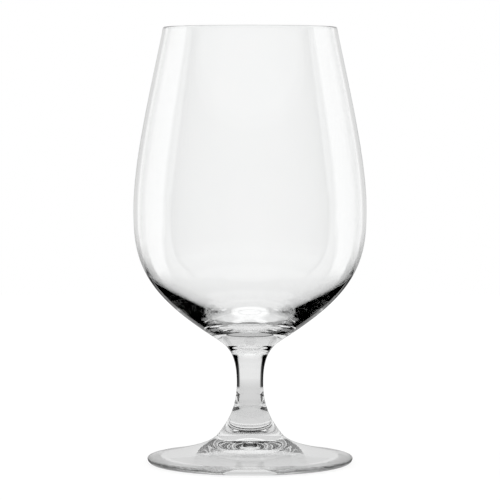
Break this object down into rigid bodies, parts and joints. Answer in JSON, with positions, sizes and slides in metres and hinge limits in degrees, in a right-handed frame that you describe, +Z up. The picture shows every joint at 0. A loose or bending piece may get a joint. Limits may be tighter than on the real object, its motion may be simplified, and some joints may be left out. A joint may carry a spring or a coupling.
{
  "type": "goblet",
  "caption": "Clear glass water goblet: a tall tulip bowl drawn in at the rim, on a short waisted stem and a round low-coned foot.",
  "frame": {"origin": "centre of the foot's standing ring, on the surface that the goblet stands on", "axes": "+Z up along the axis that the bowl, stem and foot are turned about; +X and +Y are any two square directions across it"},
  "size_m": [0.0802, 0.0802, 0.15],
  "materials": {
    "bowl_glass": "clear, fire-polished, colourless with the faintest green-grey",
    "stem_glass": "clear, fire-polished, with faint drawing lines",
    "foot_glass": "clear, fire-polished on top, lightly scuffed on the standing ring"
  },
  "bodies": {
    "root": {"bowl": "bowl_glass", "stem": "stem_glass", "foot": "foot_glass"}
  },
  "joints": []
}
